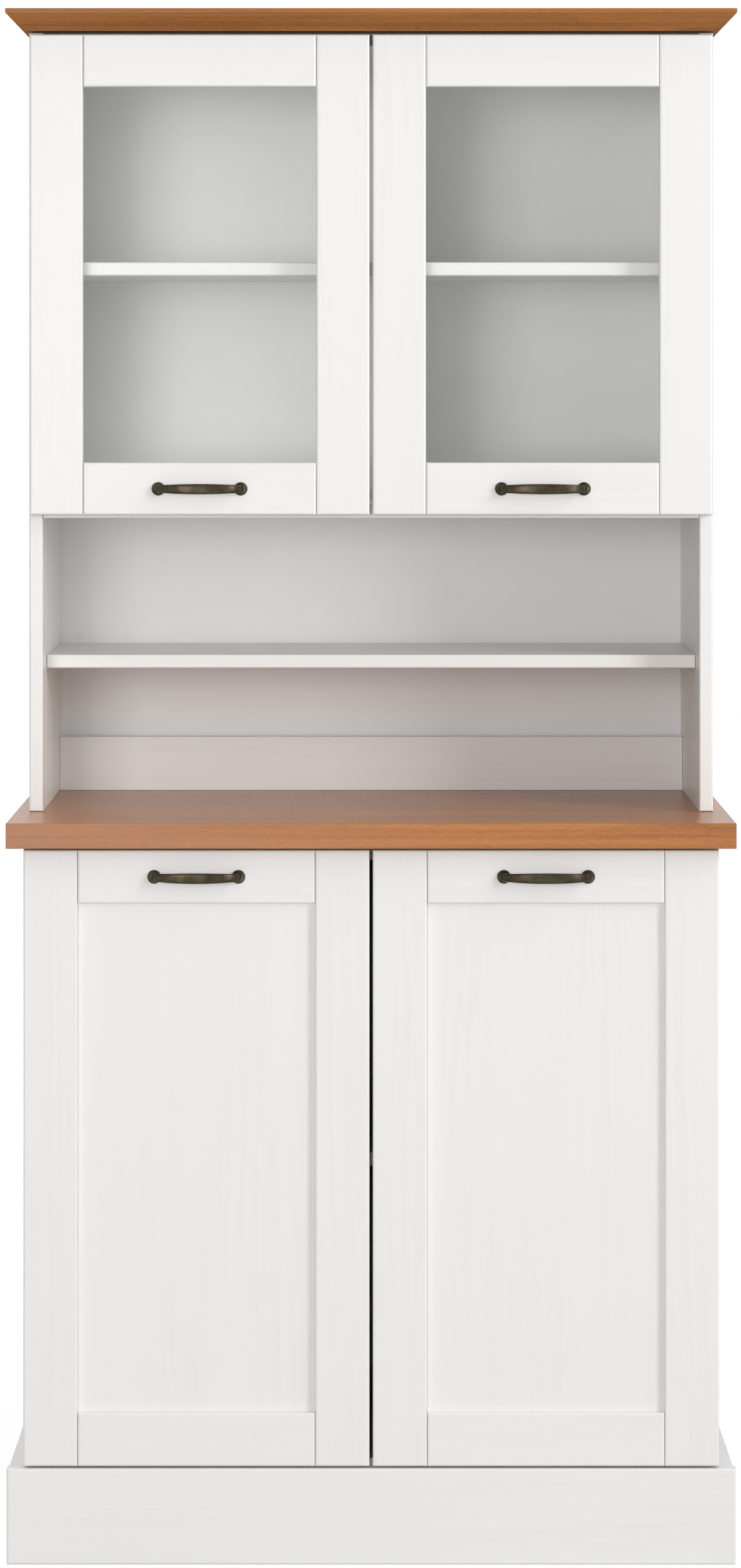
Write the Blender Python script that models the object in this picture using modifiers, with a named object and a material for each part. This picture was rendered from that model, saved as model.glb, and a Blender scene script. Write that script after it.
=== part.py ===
"""Kitchen buffet: a two-door base cabinet with a worktop, and a hutch that stands on it with an open
niche below two glazed doors. Metres, +Z up, the front faces -Y, the floor is z = 0."""

import math

import bmesh
import bpy
from mathutils import Matrix, Vector

NAME = "kitchen_buffet"

# Boards and fits
BOARD = 0.016
BACK_BOARD = 0.003
DOOR_BOARD = 0.019
FIT_GAP = 0.0003
BOARD_EDGE_RADIUS = 0.0018
BACK_BOARD_INSET = 0.001

# Base cabinet
BASE_WIDTH = 0.796
BASE_HEIGHT = 0.820
BASE_FRONT_SETBACK = 0.0435
BASE_FLOOR_HEIGHT = 0.102
BASE_SHELF_RISE = 0.3315
BASE_SHELF_SETBACK = 0.020
BASE_RAIL_DEPTH = 0.095

# Plinth
PLINTH_HEIGHT = 0.110
PLINTH_END_OVERHANG = 0.0025
PLINTH_FRONT_BOARD = 0.018
PLINTH_FRONT_SETBACK = 0.022
PLINTH_EDGE_RADIUS = 0.0024

# Worktop
WORKTOP_SIDE_OVERHANG = 0.018
WORKTOP_DEPTH = 0.523
WORKTOP_THICKNESS = 0.029
WORKTOP_EDGE_RADIUS = 0.0008

# Hutch
HUTCH_WIDTH = 0.800
HUTCH_HEIGHT = 0.912
HUTCH_FRONT_SETBACK = 0.162
NICHE_HEIGHT = 0.3435
NICHE_SHELF_RISE = 0.1645
NICHE_SHELF_SETBACK = 0.066
GLAZED_SHELF_RISE = 0.268
GLAZED_SHELF_SETBACK = 0.018
SPLASH_HEIGHT = 0.0655
SPLASH_BACK_GAP = 0.017

# Crown
CROWN_FASCIA = 0.005
CROWN_CHAMFER = 0.020
CROWN_SIDE_OVERHANG = 0.025
CROWN_FRONT_OVERHANG = 0.044

# Doors
STILE_WIDTH = 0.062
RAIL_WIDTH = 0.061
DOOR_EDGE_RADIUS = 0.0022
DOOR_BACK_GAP = 0.002
DOOR_MIDDLE_GAP = 0.0038
GLAZED_DOOR_SIDE_INSET = 0.0018
GLAZED_DOOR_TOP_GAP = 0.0038
GLAZED_DOOR_FLOOR_OVERLAP = 0.0117
BASE_DOOR_SIDE_INSET = 0.0005
BASE_DOOR_TOP_GAP = 0.0033
BASE_DOOR_PLINTH_GAP = 0.0025
PANE_RECESS = 0.008
PANE_TONGUE = 0.008
GLASS_THICKNESS = 0.004
PANEL_THICKNESS = 0.005

# Concealed hinges
HINGE_AXIS_INSET = 0.0047
HINGE_AXIS_AHEAD = 0.010
HINGE_END_DISTANCE = 0.098
CUP_DIAMETER = 0.0344
CUP_EDGE_DISTANCE = 0.0043
CUP_DEPTH = 0.0113
CUP_WALL = 0.0014
FLANGE_THICKNESS = 0.0010
FLANGE_LENGTH = 0.054
FLANGE_WIDTH = 0.022
FLANGE_CORNER_SHARE = 1 / 3
ARM_WIDTH = 0.013
ARM_HEIGHT = 0.016
ARM_REACH = 0.060
ARM_EDGE_RADIUS = 0.0020
PLATE_THICKNESS = 0.0034
PLATE_DEPTH = 0.030
PLATE_HEIGHT = 0.050
PLATE_SETBACK = 0.022
PLATE_CORNER_RADIUS = 0.0060

# Bow handles
HANDLE_SPACING = 0.096
HANDLE_PROJECTION = 0.025
ROSETTE_DIAMETER = 0.0156
ROSETTE_THICKNESS = 0.0026
ROSETTE_EDGE = 0.0010
STRAP_MIDDLE_HEIGHT = 0.0119
STRAP_END_HEIGHT = 0.0086
STRAP_MIDDLE_THICKNESS = 0.0036
STRAP_END_THICKNESS = 0.0056
STRAP_ARCH_POWER = 2.5
STRAP_SECTION_POWER = 3.6

# Overrun of a cutter past the face that it opens, and the distance at which points are one
OVERRUN = 0.001
MERGE_DISTANCE = 0.00001

# Counts
EDGE_STEPS = 2
ROUND_STEPS = 32
ROSETTE_STEPS = 28
CORNER_STEPS = 5
STRAP_STATIONS = 26
STRAP_SIDES = 12
SMOOTH_ANGLE = math.radians(32)

# Distances behind the worktop's front edge
CARCASE_BACK = WORKTOP_DEPTH - BACK_BOARD
BASE_DOOR_FACE = BASE_FRONT_SETBACK - DOOR_BACK_GAP - DOOR_BOARD
HANDLE_FRONT = BASE_DOOR_FACE - FIT_GAP - HANDLE_PROJECTION
FOREMOST = min(0.0, HANDLE_FRONT)
FRONT_Y = -(FOREMOST + WORKTOP_DEPTH) / 2

# Heights above the floor
WORKTOP_TOP = BASE_HEIGHT + WORKTOP_THICKNESS
HUTCH_TOP = WORKTOP_TOP + HUTCH_HEIGHT
BASE_FLOOR_TOP = BASE_FLOOR_HEIGHT + BOARD
HUTCH_FLOOR_HEIGHT = WORKTOP_TOP + NICHE_HEIGHT
HUTCH_FLOOR_TOP = HUTCH_FLOOR_HEIGHT + BOARD

# Depth of a hinge cup's pocket
CUP_POCKET = CUP_DEPTH - CUP_WALL

# Inner half widths between the side panels
BASE_INSIDE = BASE_WIDTH / 2 - BOARD
HUTCH_INSIDE = HUTCH_WIDTH / 2 - BOARD

WHITE_FOIL = ((0.80, 0.80, 0.785), 0.42, 0.0)
WOOD_DECOR = ((0.46, 0.22, 0.095), 0.40, 0.0)
BACK_FOIL = ((0.66, 0.66, 0.65), 0.55, 0.0)
CLEAR_GLASS = ((0.93, 0.96, 0.95), 0.03, 0.0)
AGED_BRASS = ((0.13, 0.105, 0.06), 0.42, 1.0)
HINGE_STEEL = ((0.62, 0.62, 0.62), 0.30, 1.0)


def at(setback):
    """World y of a point that lies this far behind the worktop's front edge."""
    return FRONT_Y + setback


def empty_scene():
    """Start from nothing."""
    for thing in list(bpy.data.objects):
        bpy.data.objects.remove(thing, do_unlink=True)


def new_collection(name):
    """A collection under the scene's own."""
    collection = bpy.data.collections.new(name)
    bpy.context.scene.collection.children.link(collection)
    return collection


def finish(name, look):
    """A plain material of one colour, roughness and metallic value."""
    colour, roughness, metallic = look
    material = bpy.data.materials.new(name)
    material.use_nodes = True
    shader = material.node_tree.nodes["Principled BSDF"]
    shader.inputs["Base Color"].default_value = (*colour, 1.0)
    shader.inputs["Roughness"].default_value = roughness
    shader.inputs["Metallic"].default_value = metallic
    material.diffuse_color = (*colour, 1.0)
    return material


def mesh_from(cage, name):
    """Turn a bmesh into a mesh with smooth rounds and sharp corners."""
    bmesh.ops.recalc_face_normals(cage, faces=cage.faces)
    mesh = bpy.data.meshes.new(name)
    cage.to_mesh(mesh)
    cage.free()
    mesh.shade_smooth()
    mesh.set_sharp_from_angle(angle=SMOOTH_ANGLE)
    return mesh


def place(name, mesh, look, location, parent=None, collection=None):
    """Put a mesh in the model as a named piece with its own material."""
    piece = bpy.data.objects.new(name, mesh)
    (collection or PARTS).objects.link(piece)
    if look is not None:
        mesh.materials.clear()
        mesh.materials.append(finish(name + "_finish", look))
    piece.location = Vector(location)
    if parent is not None:
        piece.parent = parent
        piece.location = Vector(location) - parent.location
    return piece


def box_cage(low, high):
    """A box about its own centre, with the centre's place."""
    low, high = Vector(low), Vector(high)
    cage = bmesh.new()
    bmesh.ops.create_cube(cage, size=1.0)
    bmesh.ops.scale(cage, vec=high - low, verts=cage.verts)
    return cage, (low + high) / 2


def edges_round(cage, directions):
    """The edges of the faces that look in any of these directions."""
    wanted = [Vector(direction) for direction in directions]
    found = set()
    for face in cage.faces:
        if any(face.normal.dot(direction) > math.cos(SMOOTH_ANGLE) for direction in wanted):
            found.update(face.edges)
    return list(found)


def rounded(cage, edges, radius, steps=EDGE_STEPS):
    """Round some edges of a cage."""
    cage.normal_update()
    bmesh.ops.bevel(cage, geom=edges, offset=radius, offset_type="OFFSET", segments=steps,
                    profile=0.5, affect="EDGES", clamp_overlap=False)


FRONT = (0, -1, 0)
ALL_ROUND = ((1, 0, 0), (-1, 0, 0), (0, 1, 0), (0, -1, 0))


def board(name, low, high, look, soft=(), radius=BOARD_EDGE_RADIUS, parent=None):
    """A board between two corners. soft lists the directions of the faces with a rounded rim."""
    cage, centre = box_cage(low, high)
    cage.normal_update()
    if soft:
        rounded(cage, edges_round(cage, soft), radius)
    return place(name, mesh_from(cage, name), look, centre, parent)


def baked(name, piece, steps):
    """The mesh of a piece after some Booleans. The piece and its operands are used up."""
    for operation, operand in steps:
        cut = piece.modifiers.new(operation, "BOOLEAN")
        cut.operation = operation
        cut.solver = "EXACT"
        cut.object = operand
    bpy.context.view_layer.update()
    shape = piece.evaluated_get(bpy.context.evaluated_depsgraph_get())
    mesh = bpy.data.meshes.new_from_object(shape)
    mesh.name = name
    mesh.shade_smooth()
    mesh.set_sharp_from_angle(angle=SMOOTH_ANGLE)
    for used in [piece] + [operand for _, operand in steps]:
        bpy.data.objects.remove(used, do_unlink=True)
    return mesh


def cutter(name, cage, location, parent=None):
    """An object that only cuts."""
    tool = place(name, mesh_from(cage, name), None, location, parent, CUTTERS)
    tool.hide_render = True
    tool.display_type = "WIRE"
    return tool


def cylinder_cage(diameter, front, back):
    """A cylinder about the Y axis, between two places along it."""
    cage = bmesh.new()
    bmesh.ops.create_cone(cage, cap_ends=True, segments=ROUND_STEPS, radius1=diameter / 2,
                          radius2=diameter / 2, depth=back - front)
    bmesh.ops.rotate(cage, verts=cage.verts, matrix=Matrix.Rotation(math.pi / 2, 3, "X"))
    bmesh.ops.translate(cage, verts=cage.verts, vec=(0, (front + back) / 2, 0))
    return cage


def cut_with(piece, tool):
    """Cut one object with another."""
    cut = piece.modifiers.new(tool.name, "BOOLEAN")
    cut.operation = "DIFFERENCE"
    cut.solver = "EXACT"
    cut.object = tool


def base_cabinet():
    """Side panels, floor, shelf, top rails and back of the base."""
    front, back = at(BASE_FRONT_SETBACK), at(CARCASE_BACK - FIT_GAP)
    top = BASE_HEIGHT - FIT_GAP
    inside = BASE_INSIDE - FIT_GAP
    for side, label in ((-1, "left"), (1, "right")):
        faces = sorted((side * BASE_INSIDE, side * BASE_WIDTH / 2))
        board("base_side_" + label, (faces[0], front, 0), (faces[1], back, top), WHITE_FOIL, (FRONT,))
    board("base_floor", (-inside, front, BASE_FLOOR_HEIGHT), (inside, back, BASE_FLOOR_TOP),
          WHITE_FOIL, (FRONT,))
    shelf_foot = BASE_FLOOR_TOP + BASE_SHELF_RISE
    board("base_shelf", (-inside, front + BASE_SHELF_SETBACK, shelf_foot),
          (inside, back, shelf_foot + BOARD), WHITE_FOIL, (FRONT,))
    board("base_rail_front", (-inside, front, top - BOARD), (inside, front + BASE_RAIL_DEPTH, top),
          WHITE_FOIL)
    board("base_rail_rear", (-inside, back - BASE_RAIL_DEPTH, top - BOARD), (inside, back, top),
          WHITE_FOIL)
    half = BASE_WIDTH / 2 - BACK_BOARD_INSET
    board("base_back", (-half, at(CARCASE_BACK), BASE_FLOOR_HEIGHT + BACK_BOARD_INSET),
          (half, at(WORKTOP_DEPTH), top - BACK_BOARD_INSET), BACK_FOIL)


def plinth():
    """A front board on the floor and a side board along each base side."""
    half = BASE_WIDTH / 2 + BOARD + PLINTH_END_OVERHANG
    front = at(PLINTH_FRONT_SETBACK)
    behind = front + PLINTH_FRONT_BOARD
    board("plinth_front", (-half, front, 0), (half, behind, PLINTH_HEIGHT), WHITE_FOIL, (FRONT,),
          PLINTH_EDGE_RADIUS)
    near = BASE_WIDTH / 2 + FIT_GAP
    far = BASE_WIDTH / 2 + BOARD
    for side, label in ((-1, "left"), (1, "right")):
        faces = sorted((side * near, side * far))
        board("plinth_side_" + label, (faces[0], behind + FIT_GAP, 0),
              (faces[1], at(CARCASE_BACK), PLINTH_HEIGHT), WHITE_FOIL)


def worktop():
    """The wooden worktop over the base."""
    half = BASE_WIDTH / 2 + WORKTOP_SIDE_OVERHANG
    board("worktop", (-half, at(0), BASE_HEIGHT), (half, at(WORKTOP_DEPTH), WORKTOP_TOP),
          WOOD_DECOR, ALL_ROUND, WORKTOP_EDGE_RADIUS)


def hutch():
    """Side panels, top, floor, shelves, splash board and back of the hutch."""
    front, back = at(HUTCH_FRONT_SETBACK), at(CARCASE_BACK - FIT_GAP)
    foot, top = WORKTOP_TOP + FIT_GAP, HUTCH_TOP - FIT_GAP
    inside = HUTCH_INSIDE - FIT_GAP
    for side, label in ((-1, "left"), (1, "right")):
        faces = sorted((side * HUTCH_INSIDE, side * HUTCH_WIDTH / 2))
        board("hutch_side_" + label, (faces[0], front, foot), (faces[1], back, top), WHITE_FOIL,
              (FRONT,))
    glazed_shelf = HUTCH_FLOOR_TOP + GLAZED_SHELF_RISE
    niche_shelf = WORKTOP_TOP + NICHE_SHELF_RISE
    levels = (("hutch_top", top - BOARD, 0), ("hutch_floor", HUTCH_FLOOR_HEIGHT, 0),
              ("glazed_shelf", glazed_shelf, GLAZED_SHELF_SETBACK),
              ("niche_shelf", niche_shelf, NICHE_SHELF_SETBACK))
    for name, height, setback in levels:
        board(name, (-inside, front + setback, height), (inside, back, height + BOARD), WHITE_FOIL,
              (FRONT,))
    splash_back = at(CARCASE_BACK - SPLASH_BACK_GAP)
    board("splash_board", (-inside, splash_back - BOARD, foot),
          (inside, splash_back, foot + SPLASH_HEIGHT), WHITE_FOIL)
    half = HUTCH_WIDTH / 2 - BACK_BOARD_INSET
    board("hutch_back", (-half, at(CARCASE_BACK), foot + BACK_BOARD_INSET),
          (half, at(WORKTOP_DEPTH), top - BACK_BOARD_INSET), BACK_FOIL)


def crown():
    """The wooden top board, with its underside chamfered at the front and both sides."""
    half = HUTCH_WIDTH / 2 + CROWN_SIDE_OVERHANG
    front = at(HUTCH_FRONT_SETBACK - CROWN_FRONT_OVERHANG)
    cage, centre = box_cage((-half, front, HUTCH_TOP),
                            (half, at(WORKTOP_DEPTH), HUTCH_TOP + CROWN_FASCIA + CROWN_CHAMFER))
    cage.normal_update()
    under = [face for face in cage.faces if face.normal.z < 0]
    rim = [edge for edge in under[0].edges if not all(vertex.co.y > 0 for vertex in edge.verts)]
    rounded(cage, rim, CROWN_CHAMFER, 1)
    place("crown", mesh_from(cage, "crown"), WOOD_DECOR, centre)


def cup_mesh():
    """A hinge cup about the Y axis. Its flange lies behind y = 0 and its pocket opens to the back."""
    body = cutter("cup_body", cylinder_cage(CUP_DIAMETER, -CUP_DEPTH, FLANGE_THICKNESS), (0, 0, 0))
    wings, _ = box_cage((-FLANGE_WIDTH / 2, FIT_GAP, -FLANGE_LENGTH / 2),
                        (FLANGE_WIDTH / 2, FLANGE_THICKNESS, FLANGE_LENGTH / 2))
    bmesh.ops.translate(wings, verts=wings.verts, vec=(0, (FIT_GAP + FLANGE_THICKNESS) / 2, 0))
    corners = [edge for edge in wings.edges
               if abs((edge.verts[0].co - edge.verts[1].co).y) > FLANGE_THICKNESS / 2]
    rounded(wings, corners, FLANGE_WIDTH * FLANGE_CORNER_SHARE, CORNER_STEPS)
    flange = cutter("cup_flange", wings, (0, 0, 0))
    hollow = cylinder_cage(CUP_DIAMETER - 2 * CUP_WALL, -CUP_POCKET, FLANGE_THICKNESS + OVERRUN)
    pocket = cutter("cup_pocket", hollow, (0, 0, 0))
    return baked("hinge_cup", body, (("UNION", flange), ("DIFFERENCE", pocket)))


def arm_mesh():
    """A hinge arm on its mounting plate. The side panel's face is x = 0, its front edge y = 0. The
    arm's nose reaches down into the pocket of the cup in the closed door."""
    plate, centre = box_cage((0, PLATE_SETBACK, -PLATE_HEIGHT / 2),
                             (PLATE_THICKNESS, PLATE_SETBACK + PLATE_DEPTH, PLATE_HEIGHT / 2))
    corners = [edge for edge in plate.edges
               if abs((edge.verts[0].co - edge.verts[1].co).x) > PLATE_THICKNESS / 2]
    rounded(plate, corners, PLATE_CORNER_RADIUS, CORNER_STEPS)
    bmesh.ops.translate(plate, verts=plate.verts, vec=centre)
    base = cutter("arm_plate", plate, (0, 0, 0))
    nose = FIT_GAP - CUP_POCKET - DOOR_BACK_GAP
    arm, centre = box_cage((PLATE_THICKNESS / 2, nose, -ARM_HEIGHT / 2),
                           (PLATE_THICKNESS + ARM_WIDTH, ARM_REACH, ARM_HEIGHT / 2))
    inner = [edge for edge in arm.edges if all(vertex.co.x > 0 for vertex in edge.verts)]
    rounded(arm, inner, ARM_EDGE_RADIUS)
    bmesh.ops.translate(arm, verts=arm.verts, vec=centre)
    return baked("hinge_arm", base, (("UNION", cutter("arm_bar", arm, (0, 0, 0))),))


def strap_section(angle):
    """Centre, tangent, height and thickness of the handle's strap at an angle along its arch."""
    half = HANDLE_SPACING / 2
    reach = HANDLE_PROJECTION - STRAP_MIDDLE_THICKNESS / 2
    power = 2 / STRAP_ARCH_POWER
    across = math.copysign(abs(math.cos(angle)) ** power, math.cos(angle))
    out = abs(math.sin(angle)) ** power
    share = across * across
    height = STRAP_MIDDLE_HEIGHT + (STRAP_END_HEIGHT - STRAP_MIDDLE_HEIGHT) * share
    thickness = STRAP_MIDDLE_THICKNESS + (STRAP_END_THICKNESS - STRAP_MIDDLE_THICKNESS) * share
    return Vector((half * across, -reach * out, 0)), height, thickness


def strap_cage():
    """The bowed strap as rounded sections that follow its arch, from one rosette to the other."""
    foot = Vector((0, -ROSETTE_THICKNESS / 2, 0))
    centres, sizes = [], []
    for station in range(STRAP_STATIONS + 1):
        centre, height, thickness = strap_section(math.pi * station / STRAP_STATIONS)
        centres.append(centre + foot * (1 if station in (0, STRAP_STATIONS) else 0))
        sizes.append((height, thickness))
    cage = bmesh.new()
    rings = []
    for station, (height, thickness) in enumerate(sizes):
        before = centres[max(station - 1, 0)]
        after = centres[min(station + 1, STRAP_STATIONS)]
        along = (after - before).normalized()
        if station in (0, STRAP_STATIONS):
            along = Vector((0, -1 if station == 0 else 1, 0))
        outward = Vector((-along.y, along.x, 0))
        ring = []
        for side in range(STRAP_SIDES):
            turn = 2 * math.pi * (side + 0.5) / STRAP_SIDES
            rise = math.copysign(abs(math.sin(turn)) ** (2 / STRAP_SECTION_POWER), math.sin(turn))
            reach = math.copysign(abs(math.cos(turn)) ** (2 / STRAP_SECTION_POWER), math.cos(turn))
            ring.append(cage.verts.new(centres[station] + outward * (reach * thickness / 2)
                                       + Vector((0, 0, rise * height / 2))))
        rings.append(ring)
    for first, second in zip(rings, rings[1:]):
        for side in range(STRAP_SIDES):
            near = (side + 1) % STRAP_SIDES
            cage.faces.new((first[side], first[near], second[near], second[side]))
    cage.faces.new(rings[0])
    cage.faces.new(rings[-1])
    return cage


def rosette(name, place_x):
    """A round foot of the handle, turned about an axis along Y. Its flat back is y = 0."""
    radius = ROSETTE_DIAMETER / 2
    outline = ((0, -ROSETTE_THICKNESS), (radius - ROSETTE_EDGE, -ROSETTE_THICKNESS),
               (radius, ROSETTE_EDGE - ROSETTE_THICKNESS), (radius, 0), (0, 0))
    mesh = bpy.data.meshes.new(name)
    mesh.from_pydata([(across, along, 0) for across, along in outline],
                     [(step, step + 1) for step in range(len(outline) - 1)], [])
    turned = place(name, mesh, None, (place_x, 0, 0), None, CUTTERS)
    spin = turned.modifiers.new("turned", "SCREW")
    spin.axis = "Y"
    spin.angle = 2 * math.pi
    spin.steps = ROSETTE_STEPS
    spin.render_steps = ROSETTE_STEPS
    spin.use_merge_vertices = True
    spin.merge_threshold = MERGE_DISTANCE
    spin.use_normal_calculate = True
    return turned


def handle_mesh():
    """A bow handle. The rail's face is y = 0, and the handle's two feet stand on it."""
    strap = cutter("strap", strap_cage(), (0, 0, 0))
    feet = [rosette("rosette_" + label, side * HANDLE_SPACING / 2)
            for side, label in ((-1, "left"), (1, "right"))]
    return baked("bow_handle", strap, [("UNION", foot) for foot in feet])


def door(label, side, foot, top, outer, carcase_front, pane_name, pane_thickness, pane_look, rail):
    """A framed door on its hinge axis: two stiles, two rails, a pane in their grooves, a handle on
    the named rail and two hinge cups. side is -1 for a left door and 1 for a right one."""
    back = carcase_front - DOOR_BACK_GAP
    face = back - DOOR_BOARD
    inner = DOOR_MIDDLE_GAP / 2
    axis = bpy.data.objects.new(label + "_axis", None)
    axis.location = (side * (outer - HINGE_AXIS_INSET), carcase_front - HINGE_AXIS_AHEAD, foot)
    PARTS.objects.link(axis)

    def member(name, near, far, low, high):
        faces = sorted((side * near, side * far))
        return board(label + name, (faces[0], face, low), (faces[1], back, high), WHITE_FOIL,
                     (FRONT,), DOOR_EDGE_RADIUS, axis)

    hinge_stile = member("_hinge_stile", outer - STILE_WIDTH, outer, foot, top)
    free_stile = member("_free_stile", inner, inner + STILE_WIDTH, foot, top)
    near, far = inner + STILE_WIDTH + FIT_GAP, outer - STILE_WIDTH - FIT_GAP
    top_rail = member("_top_rail", near, far, top - RAIL_WIDTH, top)
    bottom_rail = member("_bottom_rail", near, far, foot, foot + RAIL_WIDTH)

    pane_front = face + PANE_RECESS
    near, far = near - FIT_GAP - PANE_TONGUE, far + FIT_GAP + PANE_TONGUE
    low, high = foot + RAIL_WIDTH - PANE_TONGUE, top - RAIL_WIDTH + PANE_TONGUE
    faces = sorted((side * near, side * far))
    board(label + pane_name, (faces[0], pane_front, low),
          (faces[1], pane_front + pane_thickness, high), pane_look, parent=axis)
    room = Vector((FIT_GAP, FIT_GAP, FIT_GAP))
    seat, centre = box_cage(Vector((faces[0], pane_front, low)) - room,
                            Vector((faces[1], pane_front + pane_thickness, high)) + room)
    groove = cutter(label + "_groove", seat, centre, axis)
    for piece in (hinge_stile, free_stile, top_rail, bottom_rail):
        cut_with(piece, groove)

    cup_x = side * (outer - CUP_EDGE_DISTANCE - CUP_DIAMETER / 2)
    for end, height in (("lower", foot + HINGE_END_DISTANCE), ("upper", top - HINGE_END_DISTANCE)):
        spot = (cup_x, back, height)
        bore = cylinder_cage(CUP_DIAMETER + 2 * FIT_GAP, -CUP_DEPTH - FIT_GAP, OVERRUN)
        cut_with(hinge_stile, cutter(label + "_bore_" + end, bore, spot, axis))
        place(label + "_hinge_cup_" + end, CUP.copy(), HINGE_STEEL, spot, axis)

    middle = {"top": top - RAIL_WIDTH / 2, "bottom": foot + RAIL_WIDTH / 2}[rail]
    spot = (side * (inner + outer) / 2, face - FIT_GAP, middle)
    place(label + "_handle", HANDLE.copy(), AGED_BRASS, spot, axis)


def hinge_arms(label, side, foot, top, inside, carcase_front):
    """The two hinge arms of a door, on the side panel's inner face."""
    for end, height in (("lower", foot + HINGE_END_DISTANCE), ("upper", top - HINGE_END_DISTANCE)):
        arm = place(label + "_hinge_arm_" + end, ARM.copy(), HINGE_STEEL,
                    (side * (inside - FIT_GAP), carcase_front, height))
        if side > 0:
            arm.rotation_euler = (0, math.pi, 0)


def doors():
    """Two glazed doors on the hutch and two panelled doors on the base, with their hinges."""
    glazed_foot = HUTCH_FLOOR_TOP - GLAZED_DOOR_FLOOR_OVERLAP
    glazed_top = HUTCH_TOP - GLAZED_DOOR_TOP_GAP
    base_foot = PLINTH_HEIGHT + BASE_DOOR_PLINTH_GAP
    base_top = BASE_HEIGHT - BASE_DOOR_TOP_GAP
    for side, hand in ((-1, "left"), (1, "right")):
        front = at(HUTCH_FRONT_SETBACK)
        door("glazed_" + hand, side, glazed_foot, glazed_top,
             HUTCH_WIDTH / 2 - GLAZED_DOOR_SIDE_INSET, front, "_glass", GLASS_THICKNESS,
             CLEAR_GLASS, "bottom")
        hinge_arms("glazed_" + hand, side, glazed_foot, glazed_top, HUTCH_INSIDE, front)
        front = at(BASE_FRONT_SETBACK)
        door("base_" + hand, side, base_foot, base_top, BASE_WIDTH / 2 - BASE_DOOR_SIDE_INSET,
             front, "_panel", PANEL_THICKNESS, WHITE_FOIL, "top")
        hinge_arms("base_" + hand, side, base_foot, base_top, BASE_INSIDE, front)


empty_scene()
PARTS = new_collection(NAME)
CUTTERS = new_collection("cutters")
CUP = cup_mesh()
ARM = arm_mesh()
HANDLE = handle_mesh()
base_cabinet()
plinth()
worktop()
hutch()
crown()
doors()
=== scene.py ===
"""Looks of the kitchen buffet: a finish for every board, finer handles, small fittings, a plain
studio and the camera. Metres, +Z up, the front faces -Y, in the same frame as the CAD."""

import math

import bmesh
import bpy
from mathutils import Matrix, Vector


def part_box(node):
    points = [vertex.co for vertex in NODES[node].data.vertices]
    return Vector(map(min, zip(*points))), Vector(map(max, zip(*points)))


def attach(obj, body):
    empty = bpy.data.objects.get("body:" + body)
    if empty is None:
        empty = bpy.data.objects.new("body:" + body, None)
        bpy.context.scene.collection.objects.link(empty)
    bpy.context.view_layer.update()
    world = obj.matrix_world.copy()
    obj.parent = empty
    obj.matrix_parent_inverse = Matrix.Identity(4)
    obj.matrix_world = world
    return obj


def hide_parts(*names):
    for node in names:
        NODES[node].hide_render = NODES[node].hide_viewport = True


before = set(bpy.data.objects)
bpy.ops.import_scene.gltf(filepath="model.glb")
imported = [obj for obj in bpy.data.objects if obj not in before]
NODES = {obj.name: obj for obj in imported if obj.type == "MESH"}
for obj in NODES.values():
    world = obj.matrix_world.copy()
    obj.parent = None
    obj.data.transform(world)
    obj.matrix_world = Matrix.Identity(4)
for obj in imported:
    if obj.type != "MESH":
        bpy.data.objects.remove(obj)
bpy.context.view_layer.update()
DOORS = ("glazed_left", "glazed_right", "base_left", "base_right")

MM = 0.001
SMOOTH_ANGLE = math.radians(35)

# Camera
CAMERA_PLACE = (0.0, -6.0201, 1.335)
CAMERA_LENS = 116.20
CAMERA_SHIFT = (-0.000408, -0.24717)
CAMERA_REACH = 60

# Lamps: place, width, height, power, and whether gloss and glass show them. Each looks at the
# buffet's middle. The first two stand in front of the buffet, the next two to its right.
BUFFET_MIDDLE = Vector((0, 0, 0.9))
LAMPS = {
    "front": ((-0.62, -6.45, 1.62), 1.4, 2.4, 60.0, False),
    "glow": ((-1.50, -6.40, 1.45), 1.4, 1.2, 76.0, True),
    "right": ((4.42, -3.98, 2.03), 1.5, 2.9, 116.0, True),
    "key": ((3.60, -2.25, 3.85), 2.2, 2.2, 60.0, True),
    "top": ((0.00, -0.50, 5.00), 2.4, 2.4, 30.0, True),
    "rear": ((-3.70, 4.30, 2.60), 2.4, 2.4, 145.0, False),
}
AMBIENT = 0.315

# Floor: it glows the more, the farther it lies from the buffet
FLOOR_HALF_WIDTH = 15
FLOOR_CELLS = 24
FLOOR_NEAR, FLOOR_FAR = 0.8, 4.0
FLOOR_GLOWS = (0.58, 1.0)

# Handle. The strap's pairs are at the middle of the bow and at its feet.
HANDLE_SPACING = 96 * MM
HANDLE_PROJECTION = 25 * MM
STRAP_HEIGHTS = (11.9 * MM, 8.6 * MM)
STRAP_THICKNESSES = (3.6 * MM, 5.6 * MM)
STRAP_ARCH_POWER = 2.5
STRAP_SECTION_POWER = 3.6
STRAP_STATIONS = 64
STRAP_SIDES = 28

# Rosette at each foot. The rim's points are (in from the edge, below the top).
ROSETTE_RADIUS = 7.8 * MM
ROSETTE_THICKNESS = 2.6 * MM
ROSETTE_RIM = ((0, 1.0 * MM), (0.25 * MM, 0.4 * MM), (0.8 * MM, 0), (1.4 * MM, 0),
               (1.9 * MM, 0.15 * MM), (2.5 * MM, 0.25 * MM))
ROSETTE_STEPS = 48

# Screws, as head diameter and height. The rim's points and the cross recess are in shares of the
# head's radius and height. The recess's floor is the cross times CROSS_TAPER.
HINGE_SCREW = (7.0 * MM, 1.3 * MM)
ARM_SCREW = (5.6 * MM, 0.7 * MM)
HANDLE_BOLT = (8.4 * MM, 2.0 * MM)
SCREW_RIM = ((1, 0), (1, 0.35), (0.93, 0.7), (0.72, 1))
CROSS_ARM = 0.52
CROSS_HALF_WIDTH = 0.11
CROSS_TAPER = 0.8
CROSS_FLOOR = 0.3

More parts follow.
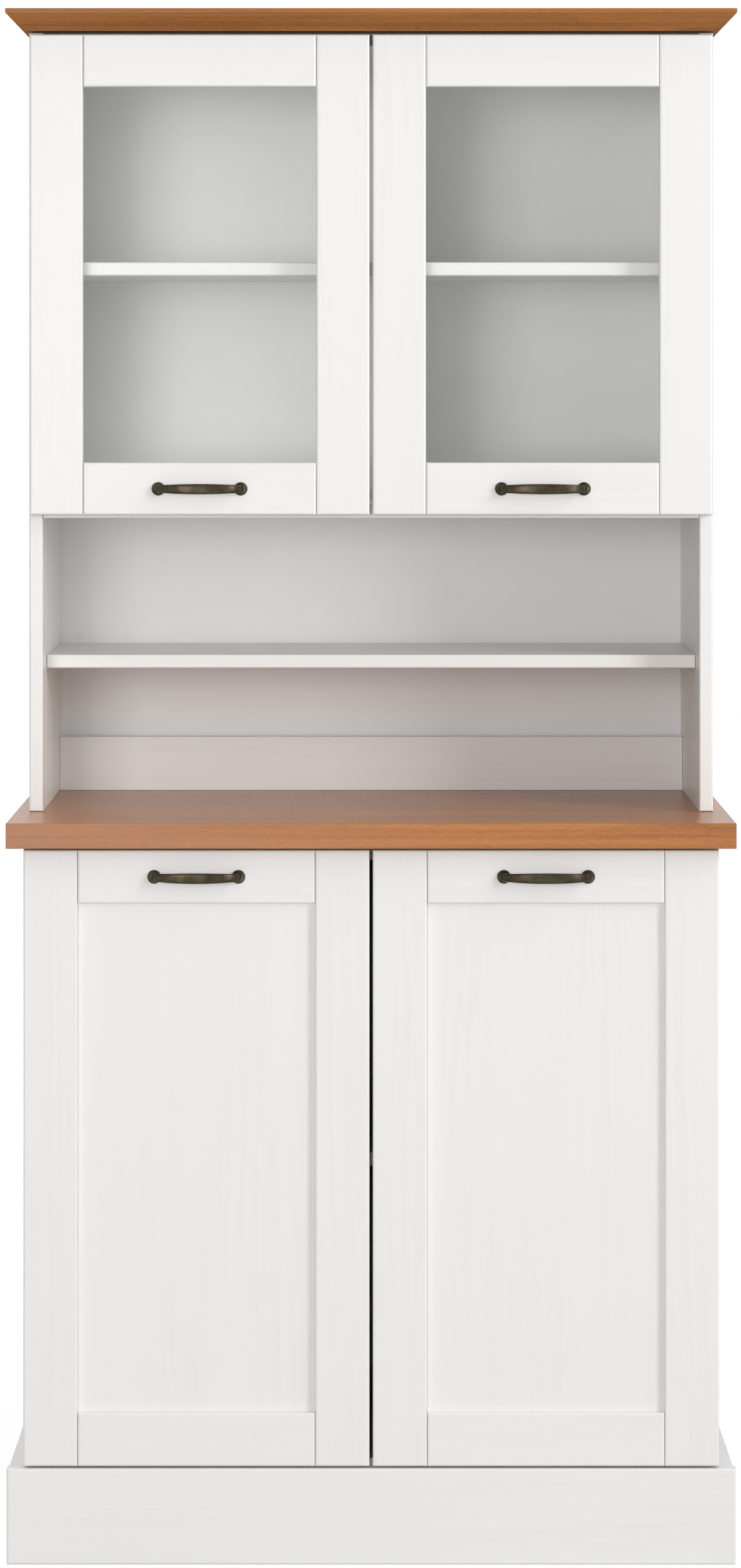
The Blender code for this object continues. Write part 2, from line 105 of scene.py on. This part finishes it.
# Places of the fittings
CUP_SCREW_OFFSET = 22.5 * MM
PLATE_SCREW_OFFSET = 16.5 * MM
PLATE_SCREW_SETBACK = 37 * MM
PLATE_THICKNESS = 3.4 * MM
ARM_SCREW_SETBACKS = (14 * MM, 38 * MM)
BUMPER_OFFSET = 34 * MM
PIN_SETBACK = 45 * MM
PIN_RADIUS = 2.5 * MM
NAIL_INSET = 7 * MM
NAILS_ACROSS = 8
NAILS_UP = 7

# Profiles as (radius, height), each about its own axis, and the steps of a turn
BUMPER_PROFILE = ((0, 0), (4.0 * MM, 0), (3.9 * MM, 0.6 * MM), (3.2 * MM, 1.2 * MM),
                  (1.8 * MM, 1.5 * MM), (0, 1.6 * MM))
PIN_PROFILE = ((0, 0), (3.4 * MM, 0), (3.4 * MM, 1.0 * MM), (PIN_RADIUS, 1.3 * MM),
               (PIN_RADIUS, 8.4 * MM), (2.1 * MM, 9.0 * MM), (0, 9.0 * MM))
NAIL_PROFILE = ((0, 0), (1.6 * MM, 0), (1.5 * MM, 0.12 * MM), (0, 0.18 * MM))
SCREW_STEPS = 24
BUMPER_STEPS = PIN_STEPS = 20
NAIL_STEPS = 14

# A face is an end, a front, a side or an underside where its normal's part along x, y, x or z is
# past this. The crown's sloped sides count as sides.
END_FACING = 0.7
FRONT_FACING = -0.7
SIDE_FACING = 0.5
UNDERSIDE_FACING = -0.85

# Each piece has its own stretch of print: the most it is shifted across the grain, and the shift
# along the grain for each metre of that
PRINT_SHIFT = 3.7
PRINT_SHIFT_ALONG = 2.3
PATINA_SHIFT = 2.9

# Painted sheen: the worktop's print grows paler from the first x to the second, standing in for a
# reflection on that end
SHEEN_FROM, SHEEN_TO = 0.20, -0.44


class Graph:
    """A material or world's node tree, with short calls that add a node and give an output."""

    def __init__(self, owner):
        owner.use_nodes = True
        self.owner = owner
        self.tree = owner.node_tree
        self.tree.nodes.clear()

    def add(self, kind, sockets=None, out=0, **settings):
        node = self.tree.nodes.new(kind)
        for key, value in settings.items():
            setattr(node, key, value)
        for key, value in (sockets or {}).items():
            if isinstance(value, bpy.types.NodeSocket):
                self.tree.links.new(value, node.inputs[key])
            else:
                node.inputs[key].default_value = value
        return node.outputs[out] if len(node.outputs) else node

    def math(self, operation, first, second=0.0, third=0.0):
        return self.add("ShaderNodeMath", {0: first, 1: second, 2: third}, operation=operation)

    def times(self, first, second):
        return self.math("MULTIPLY", first, second)

    def plus(self, first, *others):
        for other in others:
            first = self.math("ADD", first, other)
        return first

    def point(self, x, y, z):
        return self.add("ShaderNodeCombineXYZ", {0: x, 1: y, 2: z})

    def object_place(self):
        return self.add("ShaderNodeTexCoord", out="Object")

    def part_of(self, vector, axis):
        return self.add("ShaderNodeSeparateXYZ", {0: vector}, out="xyz".index(axis))

    def facing(self, axis):
        """The surface normal's part along an axis of the piece."""
        return self.part_of(self.add("ShaderNodeTexCoord", out="Normal"), axis)

    def noise(self, where, detail=1.0, roughness=0.5):
        return self.add("ShaderNodeTexNoise", {"Vector": where, "Scale": 1.0, "Detail": detail,
                                               "Roughness": roughness})

    def cells(self, place, counts, detail=2.0, roughness=0.5):
        """Noise with so many cells for each metre, in all directions or in each."""
        counts = counts if isinstance(counts, tuple) else (counts,) * 3
        return self.noise(self.add("ShaderNodeVectorMath", {0: place, 1: counts},
                                   operation="MULTIPLY"), detail, roughness)

    def ease(self, value, low, high, to_low=0.0, to_high=1.0):
        return self.add("ShaderNodeMapRange", {"Value": value, "From Min": low, "From Max": high,
                                               "To Min": to_low, "To Max": to_high},
                        interpolation_type="SMOOTHSTEP")

    def blend(self, share, first, second, kind="MIX"):
        return self.add("ShaderNodeMix", {0: share, 6: first, 7: second}, out=2,
                        data_type="RGBA", blend_type=kind)

    def blend_value(self, share, first, second):
        return self.add("ShaderNodeMix", {0: share, 2: first, 3: second})

    def bump(self, height, distance, strength=0.5):
        return self.add("ShaderNodeBump", {"Height": height, "Distance": distance,
                                           "Strength": strength})

    def any_ray(self, *kinds):
        """1 where the ray is of one of the kinds."""
        share = 0.0
        for kind in kinds:
            share = self.math("MAXIMUM", self.add("ShaderNodeLightPath", out=f"Is {kind} Ray"),
                              share)
        return share

    def principled(self, paint, roughness, normal, **sockets):
        """Finish the material with a Principled BSDF. An underscore in a socket's name is a
        space."""
        named = {name.replace("_", " "): value for name, value in sockets.items()}
        return self.surface(self.add("ShaderNodeBsdfPrincipled", {
            "Base Color": paint, "Roughness": roughness, "Normal": normal, **named}))

    def surface(self, shader):
        self.add("ShaderNodeOutputMaterial", {"Surface": shader})
        return self.owner


def colour(red, green, blue):
    return (red, green, blue, 1.0)


def material(name):
    return Graph(bpy.data.materials.new(name))


def grain_place(graph, axis, turned_ends=False):
    """Object space as (across, across, along) for a grain that runs along an axis. Each piece has
    its own stretch of grain. With turned_ends the print on the faces at either end of x runs
    along y."""
    place = graph.object_place()
    x, y, z = (graph.part_of(place, part) for part in "xyz")
    parts = {"x": (y, z, x), "y": (z, x, y), "z": (x, y, z)}[axis]
    if turned_ends:
        share = graph.math("GREATER_THAN", graph.math("ABSOLUTE", graph.facing("x")), END_FACING)
        parts = [graph.blend_value(share, straight, turned)
                 for straight, turned in zip(parts, (z, x, y))]
    own = graph.times(graph.add("ShaderNodeObjectInfo", out="Random"), PRINT_SHIFT)
    return [graph.plus(parts[0], own), parts[1],
            graph.plus(parts[2], graph.times(own, PRINT_SHIFT_ALONG))]


def stretched(graph, parts, across, along):
    """A noise's place: so many cells for each metre across and along the grain."""
    return graph.point(graph.times(parts[0], across), graph.times(parts[1], across),
                       graph.times(parts[2], along))


def growth_lines(graph, parts, spacing, wander, sway):
    """Lines that darken slowly and end sharply, as growth rings do where a saw crosses them.
    wander is how far, in spacings, they stray over the length 1 / sway."""
    across = graph.plus(parts[0], parts[1])
    drift = graph.noise(stretched(graph, parts, 9.0, sway), 2.0)
    uneven = graph.noise(graph.point(graph.times(across, 0.9 / spacing), 0.0,
                                     graph.times(parts[2], 0.6)))
    phase = graph.plus(graph.times(across, 1 / spacing),
                       graph.plus(graph.times(drift, wander), graph.times(uneven, 2.4)))
    saw = graph.math("FRACT", phase)
    return graph.times(graph.ease(saw, 0.25, 0.94), graph.ease(saw, 1.0, 0.95))


def white_foil(axis, bare_and_shaded_front=False):
    """White foil with a faint wood print and matching pores. With the last argument the front edge
    has no foil and shows dark grey board; this is in part painted shade, for such edges sit in
    shaded gaps."""
    graph = material("white_foil_" + axis + ("_bare_and_shaded_front" if bare_and_shaded_front else ""))
    parts = grain_place(graph, axis)
    patches = graph.ease(graph.noise(stretched(graph, parts, 16, 1.6)), 0.42, 0.66)
    lines = graph.times(growth_lines(graph, parts, 17 * MM, 3.2, 2.4), patches)
    bands = graph.noise(stretched(graph, parts, 34, 1.1), 2.0)
    fibres = graph.noise(stretched(graph, parts, 900, 16), 2.0, 0.6)
    streaks = graph.noise(stretched(graph, parts, 240, 3.5))
    print_layers = ((lines, 0.030), (graph.ease(bands, 0.35, 0.70), 0.011),
                    (graph.ease(fibres, 0.50, 0.80), 0.015),
                    (graph.ease(streaks, 0.52, 0.72), 0.008))
    dark = graph.plus(*(graph.times(layer, share) for layer, share in print_layers))
    paint = graph.blend(dark, colour(0.815, 0.808, 0.793), colour(0.30, 0.28, 0.26))
    # Dark grey front edge: bare board, and in part painted shade, as these edges sit in the shaded
    # gaps under the crown and between the lower doors
    if bare_and_shaded_front:
        chips = graph.noise(stretched(graph, parts, 420, 160), 2.0, 0.6)
        board = graph.blend(graph.ease(chips, 0.35, 0.65), colour(0.17, 0.145, 0.128),
                            colour(0.25, 0.22, 0.20))
        paint = graph.blend(graph.math("LESS_THAN", graph.facing("y"), FRONT_FACING), paint, board)
    relief = graph.plus(graph.times(fibres, 0.7), graph.times(lines, -0.5))
    return graph.principled(paint, graph.ease(fibres, 0.3, 0.7, 0.30, 0.36),
                            graph.bump(relief, 0.06 * MM, 0.6))


def wood_decor(name, tint, painted_sheen, specular):
    """Warm wood print along x: light and red bands, thin dark growth lines, pores and fibres.
    tint multiplies it all. The third argument is how much paler it grows towards -x, a painted
    sheen at that end. Ends and undersides are matt."""
    graph = material(name)
    parts = grain_place(graph, "x", turned_ends=True)
    bands = graph.noise(stretched(graph, parts, 62, 1.3), 3.0, 0.6)
    reds = graph.noise(stretched(graph, parts, 38, 0.9))
    patches = graph.ease(graph.noise(stretched(graph, parts, 26, 2.0)), 0.44, 0.66)
    lines = graph.times(growth_lines(graph, parts, 9.5 * MM, 2.6, 2.0), patches)
    fine_lines = growth_lines(graph, parts, 2.8 * MM, 4.0, 2.6)
    pores = graph.ease(graph.noise(stretched(graph, parts, 1100, 60)), 0.60, 0.74)
    fibres = graph.noise(stretched(graph, parts, 1900, 110), 2.0, 0.6)
    speckle = graph.noise(stretched(graph, parts, 1500, 800))

    paint = graph.blend(graph.ease(bands, 0.34, 0.68), colour(0.50, 0.190, 0.048),
                        colour(0.30, 0.092, 0.018))
    for layer, share, tone in (
            (graph.ease(reds, 0.45, 0.7), 0.30, (0.38, 0.112, 0.038)),
            (fine_lines, 0.26, (0.20, 0.068, 0.024)),
            (lines, 0.75, (0.17, 0.056, 0.020)),
            (pores, 0.42, (0.16, 0.055, 0.020)),
            (graph.ease(fibres, 0.35, 0.7), 0.34, (0.56, 0.225, 0.058)),
            (graph.ease(speckle, 0.45, 0.75), 0.30, (0.58, 0.26, 0.085))):
        paint = graph.blend(graph.times(layer, share), paint, colour(*tone))
    # Painted sheen: the print grows paler towards -x, standing in for a reflection on that end
    if painted_sheen:
        x = graph.part_of(graph.object_place(), "x")
        paint = graph.blend(graph.ease(x, SHEEN_FROM, SHEEN_TO, 0.0, painted_sheen), paint,
                            colour(0.46, 0.24, 0.145))
    paint = graph.blend(1.0, paint, colour(*tint), "MULTIPLY")

    side = graph.math("GREATER_THAN", graph.math("ABSOLUTE", graph.facing("x")), SIDE_FACING)
    matt = graph.math("MAXIMUM", side,
                      graph.math("LESS_THAN", graph.facing("z"), UNDERSIDE_FACING))
    rough = graph.blend_value(matt, graph.ease(fibres, 0.3, 0.7, 0.26, 0.34),
                              graph.ease(fibres, 0.3, 0.7, 0.86, 0.94))
    relief = graph.plus(graph.times(pores, -1.0), graph.times(fibres, 0.25))
    return graph.principled(paint, rough, graph.bump(relief, 0.08 * MM),
                            Specular_IOR_Level=specular)


def back_foil():
    """Thin white back boards: smooth foil over a faint orange-peel."""
    graph = material("back_foil")
    place = graph.object_place()
    cloud, peel = graph.cells(place, 14), graph.cells(place, 620)
    share = graph.plus(graph.times(graph.ease(cloud, 0.3, 0.7), 0.5),
                       graph.times(graph.ease(peel, 0.3, 0.7), 0.5))
    paint = graph.blend(share, colour(0.865, 0.865, 0.86), colour(0.845, 0.845, 0.84))
    return graph.principled(paint, graph.ease(peel, 0.3, 0.7, 0.46, 0.54),
                            graph.bump(peel, 0.05 * MM))


def clear_glass():
    """Float glass. Lamp light passes straight through it."""
    graph = material("clear_glass")
    cloud = graph.cells(graph.object_place(), 9)
    tint = graph.blend(graph.ease(cloud, 0.3, 0.7), colour(0.996, 1.0, 0.998),
                       colour(0.990, 0.998, 0.994))
    pane = graph.add("ShaderNodeBsdfPrincipled", {
        "Base Color": tint, "Roughness": 0.0, "IOR": 1.5, "Transmission Weight": 1.0})
    clear = graph.add("ShaderNodeBsdfTransparent", {"Color": colour(0.98, 0.985, 0.982)})
    return graph.surface(graph.add("ShaderNodeMixShader", {
        0: graph.any_ray("Shadow", "Diffuse"), 1: pane, 2: clear}))


def aged_bronze():
    """Dark patina, rubbed through to dull brass in speckles."""
    graph = material("aged_bronze")
    own = graph.times(graph.add("ShaderNodeObjectInfo", out="Random"), PATINA_SHIFT)
    place = graph.add("ShaderNodeVectorMath",
                      {0: graph.object_place(), 1: graph.point(own, own, own)}, operation="ADD")
    speckle = graph.cells(place, 1700, 2.0, 0.6)
    blotch = graph.cells(place, 420, 2.0, 0.6)
    cloud = graph.cells(place, 75, 1.0, 0.6)
    rub = graph.plus(graph.times(speckle, 0.50), graph.plus(graph.times(blotch, 0.30),
                                                            graph.times(cloud, 0.40)))
    paint = graph.blend(graph.ease(rub, 0.48, 0.74), colour(0.034, 0.0275, 0.0175),
                        colour(0.064, 0.054, 0.035))
    relief = graph.plus(speckle, graph.times(blotch, 0.8))
    return graph.principled(paint, graph.ease(rub, 0.45, 0.75, 0.40, 0.32),
                            graph.bump(relief, 0.06 * MM), Metallic=1.0)


def plated_steel(name, tone, rough):
    """Nickel-plated steel with fine drawing marks."""
    graph = material(name)
    place = graph.object_place()
    drawn, cloud = graph.cells(place, (2400, 140, 2400)), graph.cells(place, 160)
    paint = graph.blend(graph.ease(cloud, 0.3, 0.7), colour(tone, tone * 0.985, tone * 0.955),
                        colour(tone * 0.9, tone * 0.885, tone * 0.855))
    return graph.principled(paint, graph.ease(drawn, 0.3, 0.7, rough, rough + 0.08),
                            graph.bump(drawn, 0.03 * MM), Metallic=1.0)


def silicone():
    """Milky door bumpers."""
    graph = material("silicone")
    cloud = graph.cells(graph.object_place(), 300)
    paint = graph.blend(graph.ease(cloud, 0.3, 0.7), colour(0.72, 0.72, 0.70),
                        colour(0.66, 0.66, 0.64))
    return graph.surface(graph.add("ShaderNodeBsdfPrincipled", {
        "Base Color": paint, "Roughness": graph.ease(cloud, 0.3, 0.7, 0.26, 0.34)}))


def lathe(profile, steps):
    """A cage turned about z from (radius, height) points. A radius of 0 closes an end."""
    cage = bmesh.new()
    rings = []
    for radius, height in profile:
        turns = [2 * math.pi * step / steps for step in range(steps if radius else 1)]
        rings.append([cage.verts.new((radius * math.cos(turn), radius * math.sin(turn), height))
                      for turn in turns])
    for low, high in zip(rings, rings[1:]):
        for step in range(steps):
            following = (step + 1) % steps
            corners = (low[step % len(low)], low[following % len(low)],
                       high[following % len(high)], high[step % len(high)])
            cage.faces.new(list(dict.fromkeys(corners)))
    return cage


def mesh_of(cage, name):
    """The cage as a mesh with smooth rounds and sharp corners."""
    bmesh.ops.recalc_face_normals(cage, faces=cage.faces)
    mesh = bpy.data.meshes.new(name)
    cage.to_mesh(mesh)
    cage.free()
    mesh.shade_smooth()
    mesh.set_sharp_from_angle(angle=SMOOTH_ANGLE)
    return mesh


def add_object(name, data):
    thing = bpy.data.objects.new(name, data)
    bpy.context.scene.collection.objects.link(thing)
    return thing


def add_copies(cage, mesh, transforms):
    """Copies of a mesh in the cage. The mesh itself stays as it is."""
    for transform in transforms:
        copy = mesh.copy()
        copy.transform(transform)
        cage.from_mesh(copy)
        bpy.data.meshes.remove(copy)


def screw_head(diameter, height):
    """A pan head about z with a cross recess. Its seat is z = 0."""
    radius = diameter / 2
    cage = lathe([(0, 0)] + [(radius * out, height * up) for out, up in SCREW_RIM], SCREW_STEPS)
    arm, half = radius * CROSS_ARM, radius * CROSS_HALF_WIDTH
    corners = [Matrix.Rotation(quarter * math.pi / 2, 3, "Z") @ Vector((x, y, height))
               for quarter in range(4) for x, y in ((arm, -half), (arm, half), (half, half))]
    cross = [cage.verts.new(corner) for corner in corners]
    rim = [edge for edge in cage.edges if edge.is_boundary]
    inner = [cage.edges.new((cross[step - 1], cross[step])) for step in range(len(cross))]
    bmesh.ops.triangle_fill(cage, edges=rim + inner, use_beauty=True)
    floor = [cage.verts.new((corner.x * CROSS_TAPER, corner.y * CROSS_TAPER,
                             height * CROSS_FLOOR)) for corner in corners]
    for step in range(len(cross)):
        cage.faces.new((cross[step - 1], cross[step], floor[step], floor[step - 1]))
    cage.faces.new(floor)
    return mesh_of(cage, "screw_head")


def fittings(name, body, finish, parts):
    """One piece out of small (mesh, place, direction) parts that ride on a body."""
    cage = bmesh.new()
    for mesh, spot, way in parts:
        turn = Vector((0, 0, 1)).rotation_difference(Vector(way)).to_matrix().to_4x4()
        add_copies(cage, mesh, [Matrix.Translation(spot) @ turn])
    mesh = mesh_of(cage, name)
    mesh.materials.append(finish)
    piece = add_object(name, mesh)
    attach(piece, body)


def strap_section(angle):
    """Centre, height and thickness of the handle's strap at an angle along its arch."""
    power = 2 / STRAP_ARCH_POWER
    across = math.copysign(abs(math.cos(angle)) ** power, math.cos(angle))
    out = abs(math.sin(angle)) ** power
    share = across * across
    height, thickness = (middle + (end - middle) * share
                         for middle, end in (STRAP_HEIGHTS, STRAP_THICKNESSES))
    reach = HANDLE_PROJECTION - STRAP_THICKNESSES[0] / 2
    return Vector((HANDLE_SPACING / 2 * across, -reach * out, 0)), height, thickness


def power_curve(value):
    """A sine or cosine bent so that the strap's section is a rounded box."""
    return math.copysign(abs(value) ** (2 / STRAP_SECTION_POWER), value)


def bow_handle():
    """The handle about its own middle. The rail's face is y = 0 and the bow stands out to -y."""
    cage = bmesh.new()
    sections = [strap_section(math.pi * station / STRAP_STATIONS)
                for station in range(STRAP_STATIONS + 1)]
    rings = []
    for station, (centre, height, thickness) in enumerate(sections):
        before = sections[max(station - 1, 0)][0]
        after = sections[min(station + 1, STRAP_STATIONS)][0]
        along = (after - before).normalized()
        if station in (0, STRAP_STATIONS):
            along = Vector((0, -1 if station == 0 else 1, 0))
        outward = Vector((-along.y, along.x, 0))
        turns = [2 * math.pi * (side + 0.5) / STRAP_SIDES for side in range(STRAP_SIDES)]
        rings.append([
            cage.verts.new(centre + outward * (power_curve(math.cos(turn)) * thickness / 2)
                           + Vector((0, 0, power_curve(math.sin(turn)) * height / 2)))
            for turn in turns])
    for first, second in zip(rings, rings[1:]):
        for side in range(STRAP_SIDES):
            following = (side + 1) % STRAP_SIDES
            cage.faces.new((first[side], first[following], second[following], second[side]))
    cage.faces.new(rings[0])
    cage.faces.new(rings[-1])

    rim = [(ROSETTE_RADIUS - inset, ROSETTE_THICKNESS - drop) for inset, drop in ROSETTE_RIM]
    foot = mesh_of(lathe([(0, 0), (ROSETTE_RADIUS, 0), *rim, (0, rim[-1][1])], ROSETTE_STEPS),
                   "rosette")
    add_copies(cage, foot, [Matrix.Translation((side * HANDLE_SPACING / 2, 0, 0))
                            @ Matrix.Rotation(math.pi / 2, 4, "X") for side in (-1, 1)])
    return mesh_of(cage, "bow_handle")


def body_of(door):
    kind, side = door.split("_")
    return f"{kind}_door_{side}"


def middle_of(node):
    return sum(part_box(node), Vector()) / 2


def shared_height(first, second):
    """The middle of the heights that two nodes share."""
    spans = [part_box(name) for name in (first, second)]
    return (max(low.z for low, high in spans) + min(high.z for low, high in spans)) / 2


def finish_boards():
    """Give every CAD node its material."""
    foils = {axis: white_foil(axis) for axis in "xyz"}
    bare_and_shaded_foil = white_foil("x", bare_and_shaded_front=True)
    back, glass = back_foil(), clear_glass()
    steel = plated_steel("hinge_steel", 0.62, 0.26)
    looks = {
        # The worktop's 0.30 is its painted sheen towards -x
        "worktop": wood_decor("wood_decor_worktop", (1.0, 1.0, 1.0), 0.30, 0.45),
        "crown": wood_decor("wood_decor_crown", (0.82, 0.86, 0.92), 0.0, 0.2),
        # Dark grey front edges on these two: bare board, and in part painted shade of the gaps
        # they sit in
        "hutch_top": bare_and_shaded_foil, "base_rail_front": bare_and_shaded_foil,
        "hutch_back": back, "base_back": back,
        "plinth_side_left": foils["y"], "plinth_side_right": foils["y"],
    }
    for name, node in NODES.items():
        if name in looks:
            look = looks[name]
        elif name.endswith("_glass"):
            look = glass
        elif "_hinge_cup_" in name or "_hinge_arm_" in name:
            look = steel
        elif name.endswith(("_stile", "_panel")) or "_side_" in name:
            look = foils["z"]
        else:
            look = foils["x"]
        for holder in node.material_slots:
            holder.material = look


def add_handles():
    """A finer handle in place of each CAD handle."""
    mesh = bow_handle()
    mesh.materials.append(aged_bronze())
    for door in DOORS:
        low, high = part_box(door + "_handle")
        piece = add_object(door + "_bow", mesh)
        piece.location = ((low.x + high.x) / 2, high.y, (low.z + high.z) / 2)
        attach(piece, body_of(door))
        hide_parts(door + "_handle")


def add_door_fittings(nickel, screw):
    """Cup screws, handle bolts and bumpers on each door."""
    bolt = screw_head(*HANDLE_BOLT)
    bumper = mesh_of(lathe(BUMPER_PROFILE, BUMPER_STEPS), "dot")
    soft = silicone()
    for door in DOORS:
        parts = []
        for end in ("lower", "upper"):
            cup = f"{door}_hinge_cup_{end}"
            middle, back = middle_of(cup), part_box(cup)[1].y
            parts += [(screw, (middle.x, back, middle.z + side * CUP_SCREW_OFFSET), (0, 1, 0))
                      for side in (-1, 1)]
        middle = middle_of(door + "_handle")
        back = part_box(door + "_free_stile")[1].y
        parts += [(bolt, (middle.x + side * HANDLE_SPACING / 2, back, middle.z), (0, 1, 0))
                  for side in (-1, 1)]
        fittings(door + "_screws", body_of(door), nickel, parts)

        stops = ("hutch_floor", "hutch_top") if "glazed" in door else ("base_rail_front",)
        across = BUMPER_OFFSET * (-1 if door.endswith("left") else 1)
        fittings(door + "_bumpers", body_of(door), soft,
                 [(bumper, (across, back, shared_height(door + "_free_stile", stop)), (0, 1, 0))
                  for stop in stops])


def add_arm_screws(nickel, screw):
    """Two screws through each hinge's mounting plate and two on top of its arm."""
    small = screw_head(*ARM_SCREW)
    parts = []
    for door in DOORS:
        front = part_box("hutch_side_left" if "glazed" in door else "base_side_left")[0].y
        inward = 1 if door.endswith("left") else -1
        for end in ("lower", "upper"):
            arm = f"{door}_hinge_arm_{end}"
            low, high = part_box(arm)
            wall, tip = (low.x, high.x) if inward > 0 else (high.x, low.x)
            height = middle_of(arm).z
            parts += [(screw, (wall + inward * PLATE_THICKNESS, front + PLATE_SCREW_SETBACK,
                               height + side * PLATE_SCREW_OFFSET), (inward, 0, 0))
                      for side in (-1, 1)]
            parts += [(small, (tip, front + setback, height), (inward, 0, 0))
                      for setback in ARM_SCREW_SETBACKS]
    fittings("cabinet_hinge_screws", "cabinet", nickel, parts)


def add_shelf_pins(nickel):
    """Four pins below each shelf that rests on pins."""
    pin = mesh_of(lathe(PIN_PROFILE, PIN_STEPS), "pin")
    parts = []
    for shelf, panels in (("glazed_shelf", "hutch_side_"), ("base_shelf", "base_side_")):
        low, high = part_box(shelf)
        for way, inner in ((1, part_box(panels + "left")[1].x),
                           (-1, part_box(panels + "right")[0].x)):
            parts += [(pin, (inner, y, low.z - PIN_RADIUS), (way, 0, 0))
                      for y in (low.y + PIN_SETBACK, high.y - PIN_SETBACK)]
    fittings("cabinet_shelf_pins", "cabinet", nickel, parts)


def add_back_nails(nickel):
    """Nails round each back board and along the boards that it covers."""
    nail = mesh_of(lathe(NAIL_PROFILE, NAIL_STEPS), "nail")
    parts = []
    for board, levels in (("hutch_back", ("hutch_floor", "niche_shelf", "glazed_shelf")),
                          ("base_back", ("base_shelf",))):
        low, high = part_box(board)
        width = high.x - low.x - 2 * NAIL_INSET
        height = high.z - low.z - 2 * NAIL_INSET
        rows = [low.z + NAIL_INSET, high.z - NAIL_INSET] + [middle_of(level).z
                                                            for level in levels]
        across = [low.x + NAIL_INSET + width * step / (NAILS_ACROSS - 1)
                  for step in range(NAILS_ACROSS)]
        climbs = [low.z + NAIL_INSET + height * (step + 0.5) / NAILS_UP
                  for step in range(NAILS_UP)]
        places = [(x, z) for z in rows for x in across]
        places += [(x, z) for z in climbs for x in (across[0], across[-1])]
        parts += [(nail, (x, high.y, z), (0, 1, 0)) for x, z in places]
    fittings("cabinet_back_nails", "cabinet", nickel, parts)


def add_fittings():
    """Hinge screws, handle bolts, door bumpers, shelf pins and the nails of the back boards."""
    nickel = plated_steel("nickel", 0.58, 0.30)
    screw = screw_head(*HINGE_SCREW)
    add_door_fittings(nickel, screw)
    add_arm_screws(nickel, screw)
    add_shelf_pins(nickel)
    add_back_nails(nickel)


def add_floor():
    """A pale floor that takes the buffet's shadow and is white farther off."""
    graph = material("floor")
    place = graph.object_place()
    distance = graph.add("ShaderNodeVectorMath", {0: place}, out="Value", operation="LENGTH")
    glow = graph.ease(distance, FLOOR_NEAR, FLOOR_FAR, *FLOOR_GLOWS)
    paint = graph.blend(graph.ease(graph.cells(place, 3, 3.0), 0.3, 0.7),
                        colour(0.61, 0.61, 0.61), colour(0.59, 0.59, 0.59))
    matt = graph.add("ShaderNodeBsdfDiffuse", {"Color": paint, "Roughness": 0.6})
    seen = graph.any_ray("Camera", "Glossy", "Transmission")
    white = graph.add("ShaderNodeEmission", {"Color": colour(1, 1, 1),
                                             "Strength": graph.times(seen, glow)})
    graph.surface(graph.add("ShaderNodeAddShader", {0: matt, 1: white}))

    cage = bmesh.new()
    bmesh.ops.create_grid(cage, x_segments=FLOOR_CELLS, y_segments=FLOOR_CELLS,
                          size=FLOOR_HALF_WIDTH)
    mesh = mesh_of(cage, "floor")
    mesh.materials.append(graph.owner)
    floor = add_object("floor", mesh)


def add_world():
    """White where it is seen, and a soft pale light elsewhere."""
    world = bpy.data.worlds.new("studio")
    bpy.context.scene.world = world
    graph = Graph(world)
    soft, white = (graph.add("ShaderNodeBackground", {"Color": colour(1, 1, 1),
                                                      "Strength": strength})
                   for strength in (AMBIENT, 1.0))
    seen = graph.any_ray("Camera", "Glossy", "Transmission")
    graph.add("ShaderNodeOutputWorld",
              {"Surface": graph.add("ShaderNodeMixShader", {0: seen, 1: soft, 2: white})})


def add_lamps():
    for name, (place, width, height, power, glossy) in LAMPS.items():
        lamp = bpy.data.lights.new(name, "AREA")
        lamp.shape = "RECTANGLE"
        lamp.size, lamp.size_y, lamp.energy = width, height, power
        holder = add_object(name, lamp)
        holder.location = place
        holder.rotation_euler = (BUFFET_MIDDLE - Vector(place)).to_track_quat("-Z", "Y").to_euler()
        holder.visible_camera = False
        holder.visible_glossy = holder.visible_transmission = glossy


def add_camera():
    """A camera that looks straight along +y, so that upright edges stay upright."""
    camera = bpy.data.cameras.new("camera")
    camera.lens = CAMERA_LENS
    camera.shift_x, camera.shift_y = CAMERA_SHIFT
    camera.clip_end = CAMERA_REACH
    holder = add_object("camera", camera)
    holder.location = CAMERA_PLACE
    holder.rotation_euler = (math.pi / 2, 0, 0)
    bpy.context.scene.camera = holder


def studio():
    """A pale floor, a white world, soft lamps and the camera."""
    bpy.context.scene.view_settings.view_transform = "Standard"
    add_floor()
    add_world()
    add_lamps()
    add_camera()


studio()
finish_boards()
add_handles()
add_fittings()
